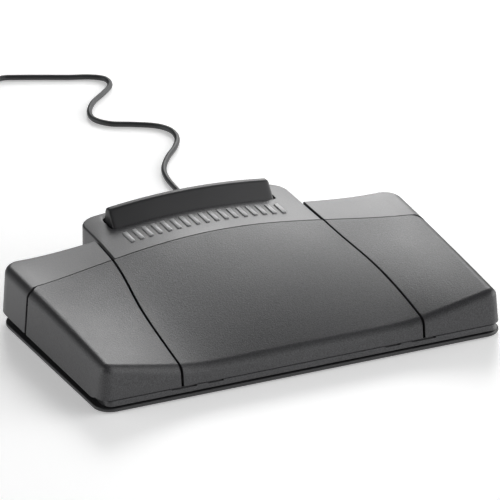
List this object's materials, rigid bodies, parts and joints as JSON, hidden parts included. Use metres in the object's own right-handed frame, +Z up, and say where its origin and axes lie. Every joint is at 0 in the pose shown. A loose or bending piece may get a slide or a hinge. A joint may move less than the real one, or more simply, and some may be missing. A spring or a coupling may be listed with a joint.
{
  "type": "foot control",
  "caption": "Low wedge-shaped foot control with a wide centre pedal, two wing pedals, a raised rear bar and a coiled lead.",
  "frame": {"origin": "on the floor, under the middle of the body's box, measured without the lead", "axes": "+X to the user's right, +Y to the rear, +Z up"},
  "size_m": [0.3012, 0.6011, 0.0572],
  "materials": {
    "grained_plastic": "dark grey, fine moulded grain",
    "satin_plastic": "dark grey, smooth satin",
    "black_plastic": "near black, satin",
    "black_rubber": "black, matt",
    "zinc_steel": "zinc plated",
    "plug_metal": "nickel plated",
    "spring_steel": "drawn spring wire",
    "magnet": "nickel plated magnet",
    "circuit_board": "green solder mask",
    "chip_epoxy": "black epoxy",
    "cable_jacket": "dark grey, smooth"
  },
  "bodies": {
    "base": {"base_tray": "black_plastic", "front_sill": "black_plastic", "left_hinge_web": "black_plastic", "centre_hinge_web": "black_plastic", "right_hinge_web": "black_plastic", "ballast_plate": "zinc_steel", "ballast_screw_1": "zinc_steel", "ballast_screw_2": "zinc_steel", "ballast_screw_3": "zinc_steel", "ballast_screw_4": "zinc_steel", "rubber_foot_1": "black_rubber", "rubber_foot_2": "black_rubber", "rubber_foot_3": "black_rubber", "rubber_foot_4": "black_rubber", "rubber_foot_5": "black_rubber", "rubber_foot_6": "black_rubber", "sensor_board": "circuit_board", "board_screw_1": "zinc_steel", "board_screw_2": "zinc_steel", "left_hall_sensor": "chip_epoxy", "centre_hall_sensor": "chip_epoxy", "right_hall_sensor": "chip_epoxy", "controller_chip": "chip_epoxy", "cable_header": "black_plastic", "left_stop_bumper": "black_rubber", "centre_stop_bumper": "black_rubber", "right_stop_bumper": "black_rubber", "left_spring": "spring_steel", "right_spring": "spring_steel", "centre_spring_left": "spring_steel", "centre_spring_right": "spring_steel", "strain_relief": "black_rubber", "cable_run": "cable_jacket", "cable_coil": "cable_jacket", "cable_tie": "black_plastic", "plug_body": "black_plastic", "plug_shell": "plug_metal"},
    "left_pedal": {"left_tread": "grained_plastic", "left_cap": "satin_plastic", "left_magnet": "magnet", "left_cap_screw_1": "zinc_steel", "left_cap_screw_2": "zinc_steel"},
    "right_pedal": {"right_tread": "grained_plastic", "right_cap": "satin_plastic", "right_magnet": "magnet", "right_cap_screw_1": "zinc_steel", "right_cap_screw_2": "zinc_steel"},
    "centre_pedal": {"centre_tread": "grained_plastic", "centre_cap": "satin_plastic", "centre_magnet": "magnet", "centre_cap_screw_1": "zinc_steel", "centre_cap_screw_2": "zinc_steel", "bar_pin": "zinc_steel", "bar_spring": "spring_steel", "bar_sensor_board": "circuit_board", "bar_hall_sensor": "chip_epoxy"},
    "top_bar": {"bar_pedal": "black_plastic", "bar_magnet": "magnet"}
  },
  "joints": [
    {"name": "left_pedal_hinge", "type": "hinge", "parent": "base", "child": "left_pedal", "pos_m": [-0.115, -0.101, 0.0093], "axis": [-1, 0, 0], "range_deg": [0, 1], "stiffness_Nm_per_rad": 16, "springref_deg": -2.01, "deforming": ["left_spring"]},
    {"name": "centre_pedal_hinge", "type": "hinge", "parent": "base", "child": "centre_pedal", "pos_m": [0, -0.101, 0.0093], "axis": [-1, 0, 0], "range_deg": [0, 1], "stiffness_Nm_per_rad": 24, "springref_deg": -2.01, "deforming": ["centre_spring_left", "centre_spring_right"]},
    {"name": "right_pedal_hinge", "type": "hinge", "parent": "base", "child": "right_pedal", "pos_m": [0.115, -0.101, 0.0093], "axis": [-1, 0, 0], "range_deg": [0, 1], "stiffness_Nm_per_rad": 16, "springref_deg": -2.01, "deforming": ["right_spring"]},
    {"name": "top_bar_hinge", "type": "hinge", "parent": "centre_pedal", "child": "top_bar", "pos_m": [0, 0.0886, 0.041], "axis": [1, 0, 0], "range_deg": [0, 7], "stiffness_Nm_per_rad": 0.2, "springref_deg": -8.59, "deforming": ["bar_spring"]}
  ]
}
